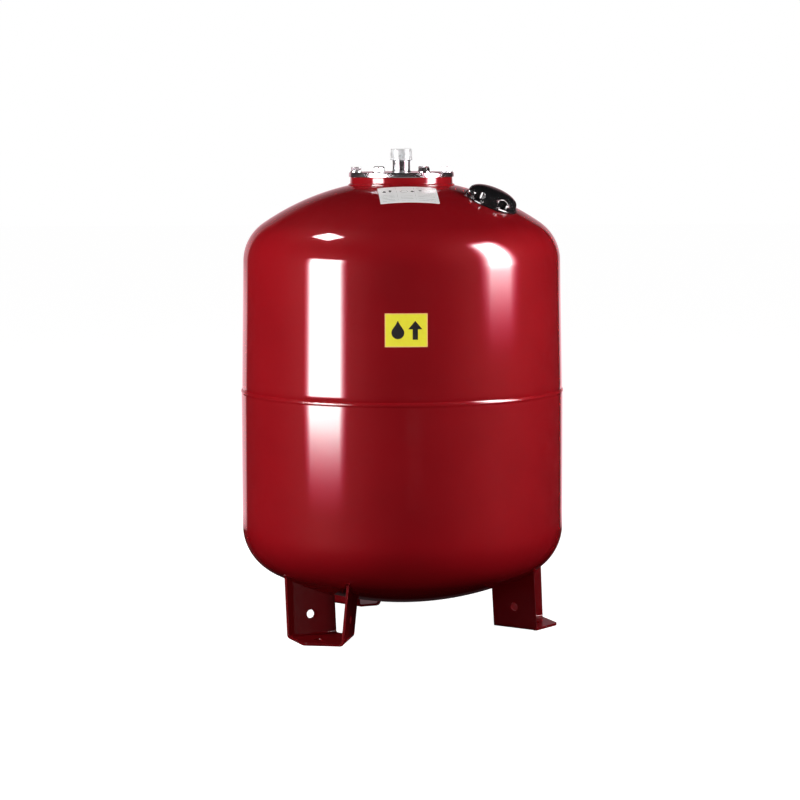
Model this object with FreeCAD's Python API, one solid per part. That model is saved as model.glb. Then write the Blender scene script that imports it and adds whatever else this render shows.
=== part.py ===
import FreeCAD, Part
import math
import os

# Floor-standing expansion vessel with a replaceable rubber bladder.
# Millimetres, +Z up.  The origin is on the vessel's axis, on the floor.
# -Y is the front, where the rating label is.

V = FreeCAD.Vector
ORIGIN = V(0, 0, 0)
UP = V(0, 0, 1)
TINY = 1e-3
ASSEMBLY_GAP = 0.05        # round a piece that a weld or glue holds in place

# Pressure shell: two deep-drawn halves with torispherical ends.
SHELL_R = 225.0            # outside radius of the lower half, 450 mm diameter
WALL = 1.8
SEAM_Z = 331.0             # edge of the lower half, where the halves are welded
LOWER_TANGENT_Z = 141.0    # where the lower wall turns into the end
UPPER_TANGENT_Z = 513.0
UPPER_SEAM_R = 224.2       # the upper half is a little smaller, with draft
UPPER_TOP_R = 221.0
LOWER_KNUCKLE = 70.0
LOWER_CROWN = 418.0
UPPER_KNUCKLE = 64.0
UPPER_CROWN = 340.0
JOGGLE_DEPTH = 9.0         # the upper half's rim slips this far into the lower
JOGGLE_RISE = 1.0
JOGGLE_END = 4.0
BEAD_FOOT = 3.0            # girth weld, below and above the seam
BEAD_PROUD = 1.0

# Neck ring on the top of the shell.
NECK_HOLE_R = 58.0
RING_BORE_R = 47.0
RING_R = 71.0
RING_LIP_R = 74.0
RING_LIP_T = 1.3
RING_WAIST_Z = 621.0
RING_FLARE_R = 71.8        # middle of the flare between lip and waist
RING_FLARE_Z = 619.0
RING_TOP_Z = 628.0
SPIGOT_Z = 615.5
NECK_WELD_LEG = 2.5

# Counterflange, its bolts and the clamped rim of the bladder.
BLADDER_RIM_T = 4.0
FLANGE_T = 3.0
FLANGE_R = 73.0
FLANGE_RIM_T = 2.5
FLANGE_RIM_GAP = 0.3
FLANGE_EDGE_R = 2.0
BOLT_COUNT = 6
BOLT_CIRCLE_R = 63.0
BOLT_HOLE_R = 4.5
TAPPED_HOLE_R = 4.05
TAPPED_HOLE_Z = 620.2
BOLT_R = 4.0
BOLT_END_Z = 620.6
BOLT_HEAD_AF = 13.0
BOLT_HEAD_H = 5.3
BOLT_CHAMFER = 0.8
WASHER_R = 8.0
WASHER_T = 1.6
FLANGE_BOTTOM_Z = RING_TOP_Z + BLADDER_RIM_T
FLANGE_TOP_Z = FLANGE_BOTTOM_Z + FLANGE_T

# Connection nipple, G 3/4 male thread, with its protective cap.
NIPPLE_BORE_R = 9.0
NIPPLE_SHANK_R = 12.05
THREAD_R = 13.22
THREAD_PITCH = 1.814
THREAD_TURNS = 8
THREAD_FLANK = 0.4         # share of the pitch that each flank takes
THREAD_START_Z = 649.8
NIPPLE_TOP_Z = 665.2
NIPPLE_WELD_LEG = 2.2
CAP_R = 14.8
CAP_INNER_R = 13.4
CAP_BOTTOM_Z = 651.6
CAP_ROOF_Z = 665.8
CAP_TOP_Z = 667.0
CAP_LIP_R = 15.3
CAP_LIP_H = 1.6
CAP_EDGE_R = 1.0

# Bladder, hanging in the shell from its clamped rim.
BLADDER_T = 3.0
BLADDER_RIM_R = 57.0
BLADDER_NECK_R = 46.0
BLADDER_R = 205.0
BLADDER_UPPER_Z = 470.0
BLADDER_LOWER_Z = 170.0
BLADDER_KNUCKLE = 80.0
BLADDER_UPPER_CROWN = 300.0
BLADDER_LOWER_CROWN = 380.0

# Feet: folded sheet brackets, two upright webs in a V and a base plate.
FOOT_AZIMUTHS = {"right": -8.0, "rear": 112.0, "front_left": 232.0}
FOOT_T = 3.5
FOOT_INNER_U = 131.5       # radial and sideways places of the web's ends
FOOT_INNER_V = 17.5
FOOT_OUTER_U = 194.5
FOOT_OUTER_V = 49.5
FOOT_BLOCK_H = 100.0
FOOT_SPLAY = 10.0          # how far the webs spread outwards over that height
FOOT_NOSE_U = 218.0
FOOT_NOSE_R = 9.0
FOOT_NOSE_INSET = 5.0
FOOT_BEND_R = 6.0
FLOOR_HOLE_U = 188.0
FLOOR_HOLE_R = 6.0
WEB_HOLE_R = 6.0
WEB_HOLE_Z = 31.5
FOOT_WELD_LEG = 2.2
FOOT_CLEAR = 14.0          # how far the cutters run past the webs' ends

# Gas valve on the upper end, under its guard.  Its own frame has +Z along
# the shell's normal and its origin on the shell's outer surface.
VALVE_R = 139.0
VALVE_AZIMUTH = -28.0
BOSS_R = 9.0
BOSS_BOTTOM = -8.0
BOSS_TOP = 0.5
BOSS_BORE_R = 4.05
BOSS_WELD_R = 11.5
STEM_BOTTOM = -7.0
STEM_SCREW_R = 4.0
STEM_SEAL_INNER_R = 4.15
STEM_SEAL_R = 5.9
STEM_CHAMFER = 0.8
SEAT_HUB_T = 1.5
SEAT_HUB_R = 6.1
HEX_AF = 14.0
HEX_H = 2.5
STEM_R = 3.85
STEM_TOP = 10.8
STEM_BORE_R = 2.6
CORE_R = 2.55
CORE_GUIDE_R = 0.95
CORE_CHAMBER_R = 2.0
CORE_BOTTOM = 0.0
CORE_CHAMBER_BOTTOM = 3.0
CORE_CHAMBER_TOP = 8.6
CORE_TOP = 9.6
PIN_R = 0.7
PIN_BOTTOM = -3.0
PIN_TOP = 10.4
PIN_COLLAR_R = 1.7
PIN_COLLAR_Z = 7.5
PIN_COLLAR_T = 0.6
PIN_HEAD_R = 1.6
PIN_HEAD_T = 0.8
CORE_SEAL_R = 1.9
CORE_SEAL_T = 1.0
CORE_SEAL_GAP = 0.05
SPRING_R = 1.4
SPRING_WIRE_R = 0.18
SPRING_TURNS = 5
SPRING_CLEAR = 0.05
DUST_CAP_R = 5.4
DUST_CAP_BORE_R = 3.95
DUST_CAP_BOTTOM = 5.4
DUST_CAP_ROOF = 11.6
DUST_CAP_TOP = 12.6
DUST_CAP_RIBS = 12
DUST_CAP_RIB_R = 0.6
DUST_CAP_RIB_OUT = 0.2     # groove centres outside the cap's surface
DUST_CAP_CHAMFER = 0.8
DUST_SEAL_R = 3.7
DUST_SEAL_T = 0.6

# Guard over the gas valve: a domed cap with six finger flutes, pushed over
# the skirt of a seat that the valve stem clamps down.
SEAT_R = 22.0
SEAT_STEP_R = 11.8
SEAT_FLANGE_TOP = 1.8
SEAT_SKIRT_R = 21.0
SEAT_SKIRT_T = 2.0
SEAT_SKIRT_TOP = 8.5
GUARD_R = 38.0
GUARD_GAP = 0.3
GUARD_FLANGE_T = 2.6
GUARD_BODY_R = 36.0
GUARD_SHOULDER = (29.8, 13.6)
GUARD_CROWN_R = 14.0
GUARD_TOP = 18.2
GUARD_CAVITY_LOW = -6.0
GUARD_T = 1.8
SHOULDER_SHRINK = 0.7      # of the wall, towards the axis and down, inside the shoulder
GUARD_SKIRT_R = 21.2
GUARD_SKIRT_T = 1.5
GUARD_SKIRT_BOTTOM = 2.3
FLUTE_COUNT = 6
FLUTE_R = 8.5
FLUTE_CIRCLE_R = 37.5
FLUTE_BOTTOM = 2.8
FLUTE_PHASE = -37.0
GUARD_CUT_H = 40.0

# Labels.
LABEL_T = 0.25
LABEL_CUT_DEPTH = 8.0      # depth of the cutter round the crown's surface
DATA_LABEL_W = 80.0
DATA_LABEL_H = 62.0
DATA_LABEL_R = 107.0
DATA_LABEL_AZIMUTH = -85.0
RATING_LABEL_W = 56.5
RATING_LABEL_H = 44.5
RATING_LABEL_X = 5.5
RATING_LABEL_Z = 431.0


def outline(start, *steps):
    """Closed wire in the X-Z plane.  A step is a corner, or an arc's middle and end."""
    edges = []
    here = V(start[0], 0, start[1])
    for step in steps + (start,):
        is_arc = isinstance(step[0], tuple)
        corner = step[1] if is_arc else step
        end = V(corner[0], 0, corner[1])
        if is_arc:
            middle = V(step[0][0], 0, step[0][1])
            edges.append(Part.Arc(here, middle, end).toShape())
        elif here.distanceToPoint(end) > 1e-6:
            edges.append(Part.makeLine(here, end))
        here = end
    return Part.Wire(edges)


def turned(start, *steps):
    """Solid of revolution about Z from an outline of (radius, height) steps."""
    return Part.Face(outline(start, *steps)).revolve(ORIGIN, UP, 360)


def rod(radius, bottom, top):
    return Part.makeCylinder(radius, top - bottom, V(0, 0, bottom))


def tube(inner, outer, bottom, top):
    return rod(outer, bottom, top).cut(rod(inner, bottom, top))


def hexagon(across_flats, bottom, height, chamfer):
    """Hexagonal prism whose top corners are turned down."""
    corner = across_flats / math.sqrt(3)
    points = [V(corner * math.cos(math.radians(60 * i)),
                corner * math.sin(math.radians(60 * i)), bottom) for i in range(7)]
    prism = Part.Face(Part.makePolygon(points)).extrude(V(0, 0, height))
    top = bottom + height
    dressing = turned((0, bottom), (corner, bottom), (corner, top - chamfer),
                      (corner - 2 * chamfer, top), (0, top))
    return prism.common(dressing)


def around(shape, count, phase=0.0):
    """Copies of a shape, evenly spaced about Z."""
    copies = []
    for index in range(count):
        copy = shape.copy()
        copy.rotate(ORIGIN, UP, phase + index * 360.0 / count)
        copies.append(copy)
    return copies


def placed(shape, placement):
    moved = shape.copy()
    moved.Placement = placement.multiply(moved.Placement)
    return moved


# Torispherical ends -------------------------------------------------------

class End:
    """One domed end.  facing is +1 for the upper end and -1 for the lower."""

    def __init__(self, radius, tangent_z, knuckle, crown, facing, draft=0.0):
        self.facing = facing
        self.draft = draft
        self.knuckle = knuckle
        self.crown = crown
        self.knuckle_r = radius - knuckle * math.cos(draft)
        self.knuckle_z = tangent_z - facing * knuckle * math.sin(draft)
        drop = math.sqrt((crown - knuckle) ** 2 - self.knuckle_r ** 2)
        self.crown_z = self.knuckle_z - facing * drop
        self.meet = math.atan2(drop, self.knuckle_r)

    def on_knuckle(self, angle, offset):
        reach = self.knuckle + offset
        return (self.knuckle_r + reach * math.cos(angle),
                self.knuckle_z + self.facing * reach * math.sin(angle))

    def on_crown(self, angle, offset):
        reach = self.crown + offset
        return (reach * math.cos(angle), self.crown_z + self.facing * reach * math.sin(angle))

    def crown_angle(self, radius, offset=0.0):
        return math.acos(radius / (self.crown + offset))

    def height(self, radius, offset=0.0):
        """Height of the crown's surface at a radius."""
        return self.on_crown(self.crown_angle(radius, offset), offset)[1]

    def arcs_in(self, hole_r, offset):
        """Steps from the wall inwards over the knuckle and the crown to a hole."""
        edge = self.crown_angle(hole_r, offset)
        knuckle_arc = (self.on_knuckle((self.draft + self.meet) / 2, offset),
                       self.on_knuckle(self.meet, offset))
        crown_arc = (self.on_crown((self.meet + edge) / 2, offset), self.on_crown(edge, offset))
        return knuckle_arc, crown_arc

    def arcs_out(self, hole_r, offset):
        """The same arcs from the hole outwards to the wall."""
        edge = self.crown_angle(hole_r, offset)
        crown_arc = (self.on_crown((self.meet + edge) / 2, offset),
                     self.on_crown(self.meet, offset))
        knuckle_arc = (self.on_knuckle((self.draft + self.meet) / 2, offset),
                       self.on_knuckle(self.draft, offset))
        return crown_arc, knuckle_arc


UPPER_DRAFT = math.atan((UPPER_SEAM_R - UPPER_TOP_R) / (UPPER_TANGENT_Z - SEAM_Z - JOGGLE_END))
UPPER = End(UPPER_TOP_R, UPPER_TANGENT_Z, UPPER_KNUCKLE, UPPER_CROWN, 1, UPPER_DRAFT)
LOWER = End(SHELL_R, LOWER_TANGENT_Z, LOWER_KNUCKLE, LOWER_CROWN, -1)


def crown_placement(radius, azimuth):
    """Frame on the upper crown: +Z along the normal, +X downhill."""
    tilt = math.degrees(math.asin(radius / UPPER_CROWN))
    turn = FreeCAD.Rotation(UP, azimuth).multiply(FreeCAD.Rotation(V(0, 1, 0), tilt))
    centre = V(0, 0, UPPER.crown_z)
    return FreeCAD.Placement(centre + turn.multVec(V(0, 0, UPPER_CROWN)), turn)


VALVE_FRAME = crown_placement(VALVE_R, VALVE_AZIMUTH)


def crown_drop(radius, gap=0.0):
    """Height of the crown, plus a gap, in a frame that stands on it."""
    return math.sqrt((UPPER_CROWN + gap) ** 2 - radius ** 2) - UPPER_CROWN


def crown_arc(start_r, end_r, gap=0.0):
    """Arc step that follows the crown in a frame that stands on it."""
    middle_r = (start_r + end_r) / 2
    return ((middle_r, crown_drop(middle_r, gap)), (end_r, crown_drop(end_r, gap)))


# Shell --------------------------------------------------------------------

def upper_shell():
    inner = -WALL
    slip_r = SHELL_R - WALL
    steps = [(slip_r, SEAM_Z + JOGGLE_RISE), (UPPER_SEAM_R, SEAM_Z + JOGGLE_END),
             UPPER.on_knuckle(UPPER_DRAFT, 0)]
    steps += UPPER.arcs_in(NECK_HOLE_R, 0)
    steps.append((NECK_HOLE_R, UPPER.height(NECK_HOLE_R, inner)))
    steps += UPPER.arcs_out(NECK_HOLE_R, inner)
    steps += [(UPPER_SEAM_R - WALL, SEAM_Z + JOGGLE_END), (slip_r - WALL, SEAM_Z + JOGGLE_RISE),
              (slip_r - WALL, SEAM_Z - JOGGLE_DEPTH)]
    shell = turned((slip_r, SEAM_Z - JOGGLE_DEPTH), *steps)
    hole = rod(BOSS_R + ASSEMBLY_GAP, BOSS_BOTTOM, BOSS_TOP)
    return shell.cut(placed(hole, VALVE_FRAME))


def lower_shell():
    inner = -WALL
    steps = [LOWER.on_knuckle(0, 0)]
    steps += LOWER.arcs_in(0, 0)
    steps.append((0, LOWER.height(0, inner)))
    steps += LOWER.arcs_out(0, inner)
    steps.append((SHELL_R - WALL, SEAM_Z))
    return turned((SHELL_R, SEAM_Z), *steps)


def lower_envelope(offset=0.0):
    """The closed outside of the lower half, grown by an offset."""
    steps = [LOWER.on_knuckle(0, offset)]
    steps += LOWER.arcs_in(0, offset)
    steps.append((0, SEAM_Z))
    return turned((SHELL_R + offset, SEAM_Z), *steps)


def girth_weld():
    top = (UPPER_SEAM_R, SEAM_Z + JOGGLE_END)
    crest = (SHELL_R + BEAD_PROUD, SEAM_Z + JOGGLE_RISE / 2)
    slip_r = SHELL_R - WALL
    return turned((SHELL_R, SEAM_Z - BEAD_FOOT), (crest, top), (slip_r, SEAM_Z + JOGGLE_RISE),
                  (slip_r, SEAM_Z), (SHELL_R, SEAM_Z))


# Neck and counterflange ---------------------------------------------------

def neck_ring():
    lip_z = UPPER.height(RING_LIP_R)
    underside_r = (RING_LIP_R + NECK_HOLE_R) / 2
    underside = ((underside_r, UPPER.height(underside_r)), (NECK_HOLE_R, UPPER.height(NECK_HOLE_R)))
    flare = ((RING_FLARE_R, RING_FLARE_Z), (RING_R, RING_WAIST_Z))
    ring = turned((RING_BORE_R, RING_TOP_Z), (RING_BORE_R, SPIGOT_Z), (NECK_HOLE_R, SPIGOT_Z),
                  (NECK_HOLE_R, UPPER.height(NECK_HOLE_R)),
                  (underside[0], (RING_LIP_R, lip_z)), (RING_LIP_R, lip_z + RING_LIP_T),
                  flare, (RING_R, RING_TOP_Z))
    hole = rod(TAPPED_HOLE_R, TAPPED_HOLE_Z, RING_TOP_Z)
    hole.translate(V(BOLT_CIRCLE_R, 0, 0))
    return ring.cut(Part.makeCompound(around(hole, BOLT_COUNT)))


def neck_weld():
    """Fillet weld inside the shell, between its skin and the ring's spigot."""
    inner_z = UPPER.height(NECK_HOLE_R, -WALL)
    outer_r = NECK_HOLE_R + NECK_WELD_LEG
    middle_r = NECK_HOLE_R + NECK_WELD_LEG / 2
    return turned((NECK_HOLE_R, inner_z), (NECK_HOLE_R, inner_z - NECK_WELD_LEG / 2),
                  (outer_r, UPPER.height(outer_r, -WALL)),
                  ((middle_r, UPPER.height(middle_r, -WALL)), (NECK_HOLE_R, inner_z)))


def counterflange():
    rim_inner = FLANGE_R - FLANGE_RIM_T
    hole_r = NIPPLE_SHANK_R + ASSEMBLY_GAP
    bend = FLANGE_EDGE_R * (1 - math.sqrt(0.5))
    rounded = ((FLANGE_R - bend, FLANGE_TOP_Z - bend), (FLANGE_R - FLANGE_EDGE_R, FLANGE_TOP_Z))
    plate = turned((hole_r, FLANGE_TOP_Z), (hole_r, FLANGE_BOTTOM_Z),
                   (rim_inner, FLANGE_BOTTOM_Z), (rim_inner, RING_TOP_Z + FLANGE_RIM_GAP),
                   (FLANGE_R, RING_TOP_Z + FLANGE_RIM_GAP), (FLANGE_R, FLANGE_TOP_Z - FLANGE_EDGE_R),
                   rounded)
    hole = rod(BOLT_HOLE_R, FLANGE_BOTTOM_Z, FLANGE_TOP_Z)
    hole.translate(V(BOLT_CIRCLE_R, 0, 0))
    return plate.cut(Part.makeCompound(around(hole, BOLT_COUNT)))


def flange_bolts():
    head_z = FLANGE_TOP_Z + WASHER_T
    bolt = hexagon(BOLT_HEAD_AF, head_z, BOLT_HEAD_H, BOLT_CHAMFER)
    bolt = bolt.fuse(rod(BOLT_R, BOLT_END_Z, head_z)).removeSplitter()
    bolt.translate(V(BOLT_CIRCLE_R, 0, 0))
    return Part.makeCompound(around(bolt, BOLT_COUNT))


def flange_washers():
    washer = tube(BOLT_HOLE_R, WASHER_R, FLANGE_TOP_Z, FLANGE_TOP_Z + WASHER_T)
    washer.translate(V(BOLT_CIRCLE_R, 0, 0))
    return Part.makeCompound(around(washer, BOLT_COUNT))


def connection_nipple():
    """Shank and thread; the thread's turns are drawn as closed rings."""
    root_r = NIPPLE_SHANK_R
    steps = [(root_r, FLANGE_BOTTOM_Z), (root_r, THREAD_START_Z)]
    for turn in range(THREAD_TURNS):
        low = THREAD_START_Z + turn * THREAD_PITCH
        steps.append((THREAD_R, low + THREAD_FLANK * THREAD_PITCH))
        steps.append((THREAD_R, low + (1 - THREAD_FLANK) * THREAD_PITCH))
        steps.append((root_r, low + THREAD_PITCH))
    steps += [(root_r, NIPPLE_TOP_Z), (NIPPLE_BORE_R, NIPPLE_TOP_Z)]
    return turned((NIPPLE_BORE_R, FLANGE_BOTTOM_Z), *steps)


def nipple_weld():
    leg = NIPPLE_WELD_LEG
    throat = leg * (math.sqrt(2) - 1)
    hollow = (NIPPLE_SHANK_R + throat, FLANGE_TOP_Z + throat)
    return turned((NIPPLE_SHANK_R, FLANGE_TOP_Z), (NIPPLE_SHANK_R + leg, FLANGE_TOP_Z),
                  (hollow, (NIPPLE_SHANK_R, FLANGE_TOP_Z + leg)))


def thread_cap():
    bend = CAP_EDGE_R * (1 - math.sqrt(0.5))
    lip_z = CAP_BOTTOM_Z + CAP_LIP_H
    rounded = ((CAP_R - bend, CAP_TOP_Z - bend), (CAP_R - CAP_EDGE_R, CAP_TOP_Z))
    return turned((CAP_INNER_R, CAP_BOTTOM_Z), (CAP_LIP_R, CAP_BOTTOM_Z), (CAP_LIP_R, lip_z),
                  (CAP_R, lip_z), (CAP_R, CAP_TOP_Z - CAP_EDGE_R), rounded,
                  (0, CAP_TOP_Z), (0, CAP_ROOF_Z), (CAP_INNER_R, CAP_ROOF_Z))


def bladder():
    """Rubber bag with a clamped rim, drawn as it hangs with no water in it."""
    upper = End(BLADDER_R, BLADDER_UPPER_Z, BLADDER_KNUCKLE, BLADDER_UPPER_CROWN, 1)
    lower = End(BLADDER_R, BLADDER_LOWER_Z, BLADDER_KNUCKLE, BLADDER_LOWER_CROWN, -1)
    bore_r = BLADDER_NECK_R - BLADDER_T
    inner = -BLADDER_T
    steps = [(BLADDER_RIM_R, RING_TOP_Z), (BLADDER_NECK_R, RING_TOP_Z),
             (BLADDER_NECK_R, upper.height(BLADDER_NECK_R))]
    steps += upper.arcs_out(BLADDER_NECK_R, 0)
    steps.append(lower.on_knuckle(0, 0))
    steps += lower.arcs_in(0, 0)
    steps.append((0, lower.height(0, inner)))
    steps += lower.arcs_out(0, inner)
    steps.append(upper.on_knuckle(0, inner))
    steps += upper.arcs_in(bore_r, inner)
    steps.append((bore_r, FLANGE_BOTTOM_Z))
    return turned((BLADDER_RIM_R, FLANGE_BOTTOM_Z), *steps)


# Feet, built with the radial direction along +X ---------------------------

WEB_RUN = math.hypot(FOOT_OUTER_U - FOOT_INNER_U, FOOT_OUTER_V - FOOT_INNER_V)
WEB_U = (FOOT_OUTER_U - FOOT_INNER_U) / WEB_RUN
WEB_V = (FOOT_OUTER_V - FOOT_INNER_V) / WEB_RUN


def web_point(along, inward):
    """Point beside the +V web: along it from its inner end, and in from its face."""
    return (FOOT_INNER_U + WEB_U * along + WEB_V * inward,
            FOOT_INNER_V + WEB_V * along - WEB_U * inward)


def v_wire(start, end, inward, z):
    """Four-sided plan between the two webs, symmetric about +X."""
    near = web_point(start, inward)
    far = web_point(end, inward)
    corners = [near, far, (far[0], -far[1]), (near[0], -near[1]), near]
    return Part.makePolygon([V(u, v, z) for u, v in corners])


def v_block(start, end, inward, bottom, top):
    """Solid between the webs' planes, which spread outwards with height."""
    spread = FOOT_SPLAY / FOOT_BLOCK_H
    low = v_wire(start, end, inward - spread * bottom, bottom)
    high = v_wire(start, end, inward - spread * top, top)
    return Part.makeLoft([low, high], True, True)


def bottom_bends(block, bottom):
    """The two long edges under the webs."""
    return [edge for edge in block.Edges
            if edge.BoundBox.ZMax < bottom + TINY and edge.BoundBox.XLength > WEB_RUN * WEB_U - TINY]


def foot_block():
    """Outside of the two webs and the base, with the bottom bends."""
    block = v_block(0, WEB_RUN, 0, 0, FOOT_BLOCK_H)
    return block.makeFillet(FOOT_BEND_R, bottom_bends(block, 0))


def foot_hollow():
    """The space between the webs, above the base plate, with its inside bends."""
    hollow = v_block(-FOOT_CLEAR, WEB_RUN + FOOT_CLEAR, FOOT_T, FOOT_T, FOOT_BLOCK_H + FOOT_T)
    return hollow.makeFillet(FOOT_BEND_R - FOOT_T, bottom_bends(hollow, FOOT_T))


def foot_nose():
    """The base plate's rounded point, beyond the webs."""
    root_v = FOOT_OUTER_V - FOOT_NOSE_INSET
    back_u = FOOT_OUTER_U - FOOT_NOSE_INSET
    slope = math.atan2(FOOT_NOSE_U - FOOT_OUTER_U, root_v)
    tip_u = FOOT_NOSE_U - FOOT_NOSE_R
    start = (tip_u + FOOT_NOSE_R * math.cos(slope), FOOT_NOSE_R * math.sin(slope))
    edges = [Part.makeLine(V(back_u, -root_v, 0), V(FOOT_OUTER_U, -root_v, 0)),
             Part.makeLine(V(FOOT_OUTER_U, -root_v, 0), V(start[0], -start[1], 0)),
             Part.Arc(V(start[0], -start[1], 0), V(FOOT_NOSE_U, 0, 0),
                      V(start[0], start[1], 0)).toShape(),
             Part.makeLine(V(start[0], start[1], 0), V(FOOT_OUTER_U, root_v, 0)),
             Part.makeLine(V(FOOT_OUTER_U, root_v, 0), V(back_u, root_v, 0)),
             Part.makeLine(V(back_u, root_v, 0), V(back_u, -root_v, 0))]
    return Part.Face(Part.Wire(edges)).extrude(V(0, 0, FOOT_T))


def web_holes():
    """Drills through the middle of each web, square to it."""
    drills = []
    for side in (1, -1):
        u, v = web_point(WEB_RUN / 2, FOOT_CLEAR)
        base = V(u, side * v, WEB_HOLE_Z)
        drills.append(Part.makeCylinder(WEB_HOLE_R, 2 * FOOT_CLEAR, base, V(-WEB_V, side * WEB_U, 0)))
    return drills


def foot():
    bracket = foot_block().cut(foot_hollow()).fuse(foot_nose())
    drills = web_holes()
    drills.append(Part.makeCylinder(FLOOR_HOLE_R, FOOT_T, V(FLOOR_HOLE_U, 0, 0)))
    bracket = bracket.cut(Part.makeCompound(drills)).cut(lower_envelope())
    return bracket.removeSplitter()


def foot_weld(bracket):
    """Beads round the tops of both webs, where they meet the shell."""
    leg = FOOT_WELD_LEG
    outer = v_block(-leg, WEB_RUN + leg, -leg, FOOT_T, FOOT_BLOCK_H)
    inner = v_block(-FOOT_CLEAR, WEB_RUN + FOOT_CLEAR, FOOT_T + leg, FOOT_T, FOOT_BLOCK_H)
    skin = lower_envelope(leg).cut(lower_envelope())
    return outer.cut(inner).common(skin).cut(bracket)


# Gas valve, in its own frame ----------------------------------------------

def valve_boss():
    return tube(BOSS_BORE_R, BOSS_R, BOSS_BOTTOM, BOSS_TOP)


def valve_boss_weld():
    foot_r = BOSS_R
    return turned((foot_r, crown_drop(foot_r)), crown_arc(foot_r, BOSS_WELD_R),
                  (foot_r, BOSS_TOP))


def stem_seal():
    return tube(STEM_SEAL_INNER_R, STEM_SEAL_R, BOSS_TOP, BOSS_TOP + SEAT_HUB_T)


def valve_stem():
    hex_z = BOSS_TOP + SEAT_HUB_T
    stem = hexagon(HEX_AF, hex_z, HEX_H, STEM_CHAMFER)
    stem = stem.fuse(rod(STEM_SCREW_R, STEM_BOTTOM, hex_z))
    stem = stem.fuse(rod(STEM_R, hex_z + HEX_H, STEM_TOP))
    return stem.cut(rod(STEM_BORE_R, STEM_BOTTOM, STEM_TOP)).removeSplitter()


def valve_core_body():
    return turned((CORE_GUIDE_R, CORE_BOTTOM), (CORE_R, CORE_BOTTOM), (CORE_R, CORE_TOP),
                  (CORE_GUIDE_R, CORE_TOP), (CORE_GUIDE_R, CORE_CHAMBER_TOP),
                  (CORE_CHAMBER_R, CORE_CHAMBER_TOP), (CORE_CHAMBER_R, CORE_CHAMBER_BOTTOM),
                  (CORE_GUIDE_R, CORE_CHAMBER_BOTTOM))


def valve_core_pin():
    seal_bottom = CORE_BOTTOM - CORE_SEAL_GAP - CORE_SEAL_T
    head_bottom = seal_bottom - PIN_HEAD_T
    collar_top = PIN_COLLAR_Z + PIN_COLLAR_T
    return turned((0, PIN_BOTTOM), (PIN_R, PIN_BOTTOM), (PIN_R, head_bottom),
                  (PIN_HEAD_R, head_bottom), (PIN_HEAD_R, seal_bottom), (PIN_R, seal_bottom),
                  (PIN_R, PIN_COLLAR_Z), (PIN_COLLAR_R, PIN_COLLAR_Z),
                  (PIN_COLLAR_R, collar_top), (PIN_R, collar_top), (PIN_R, PIN_TOP), (0, PIN_TOP))


def valve_core_seal():
    top = CORE_BOTTOM - CORE_SEAL_GAP
    return tube(PIN_R, CORE_SEAL_R, top - CORE_SEAL_T, top)


def valve_core_spring():
    """Coil between the chamber's floor and the pin's collar."""
    start = CORE_CHAMBER_BOTTOM + SPRING_WIRE_R + SPRING_CLEAR
    end = PIN_COLLAR_Z - SPRING_WIRE_R - SPRING_CLEAR
    pitch = (end - start) / SPRING_TURNS
    path = Part.makeHelix(pitch, end - start, SPRING_R)
    path.translate(V(0, 0, start))
    wire = Part.Wire(Part.makeCircle(SPRING_WIRE_R, V(SPRING_R, 0, start), V(0, 1, 0)))
    return Part.Wire(path.Edges).makePipeShell([wire], True, True)


def dust_cap():
    cap = turned((DUST_CAP_BORE_R, DUST_CAP_BOTTOM), (DUST_CAP_R, DUST_CAP_BOTTOM),
                 (DUST_CAP_R, DUST_CAP_TOP - DUST_CAP_CHAMFER),
                 (DUST_CAP_R - DUST_CAP_CHAMFER, DUST_CAP_TOP),
                 (0, DUST_CAP_TOP), (0, DUST_CAP_ROOF), (DUST_CAP_BORE_R, DUST_CAP_ROOF))
    groove = rod(DUST_CAP_RIB_R, DUST_CAP_BOTTOM, DUST_CAP_TOP)
    groove.translate(V(DUST_CAP_R + DUST_CAP_RIB_OUT, 0, 0))
    return cap.cut(Part.makeCompound(around(groove, DUST_CAP_RIBS)))


def dust_cap_seal():
    return rod(DUST_SEAL_R, DUST_CAP_ROOF - DUST_SEAL_T, DUST_CAP_ROOF)


def guard_seat():
    hub_top = BOSS_TOP + SEAT_HUB_T
    skirt_in = SEAT_SKIRT_R - SEAT_SKIRT_T
    return turned((SEAT_HUB_R, BOSS_TOP), (SEAT_STEP_R, BOSS_TOP),
                  (SEAT_STEP_R, crown_drop(SEAT_STEP_R)), crown_arc(SEAT_STEP_R, SEAT_R),
                  (SEAT_R, SEAT_FLANGE_TOP), (SEAT_SKIRT_R, SEAT_FLANGE_TOP),
                  (SEAT_SKIRT_R, SEAT_SKIRT_TOP), (skirt_in, SEAT_SKIRT_TOP),
                  (skirt_in, hub_top), (SEAT_HUB_R, hub_top))


def guard_form(offset, bottom):
    """Closed form of the guard's dome, shrunk by an offset, on given bottom steps."""
    side_r = GUARD_BODY_R - offset
    shoulder = (GUARD_SHOULDER[0] - SHOULDER_SHRINK * offset,
                GUARD_SHOULDER[1] - SHOULDER_SHRINK * offset)
    side_top = crown_drop(GUARD_BODY_R, GUARD_GAP) + GUARD_FLANGE_T
    top = GUARD_TOP - offset
    return turned(*bottom, (side_r, side_top), (shoulder, (GUARD_CROWN_R, top)), (0, top))


def guard_cavity(offset):
    side_r = GUARD_BODY_R - offset
    return guard_form(offset, ((0, GUARD_CAVITY_LOW), (side_r, GUARD_CAVITY_LOW)))


def flutes(grow):
    """Upright cutters for the finger flutes, grown outwards by one wall."""
    cutter = rod(FLUTE_R + grow, FLUTE_BOTTOM - grow, GUARD_CUT_H)
    cutter.translate(V(FLUTE_CIRCLE_R, 0, 0))
    return Part.makeCompound(around(cutter, FLUTE_COUNT, FLUTE_PHASE))


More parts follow.
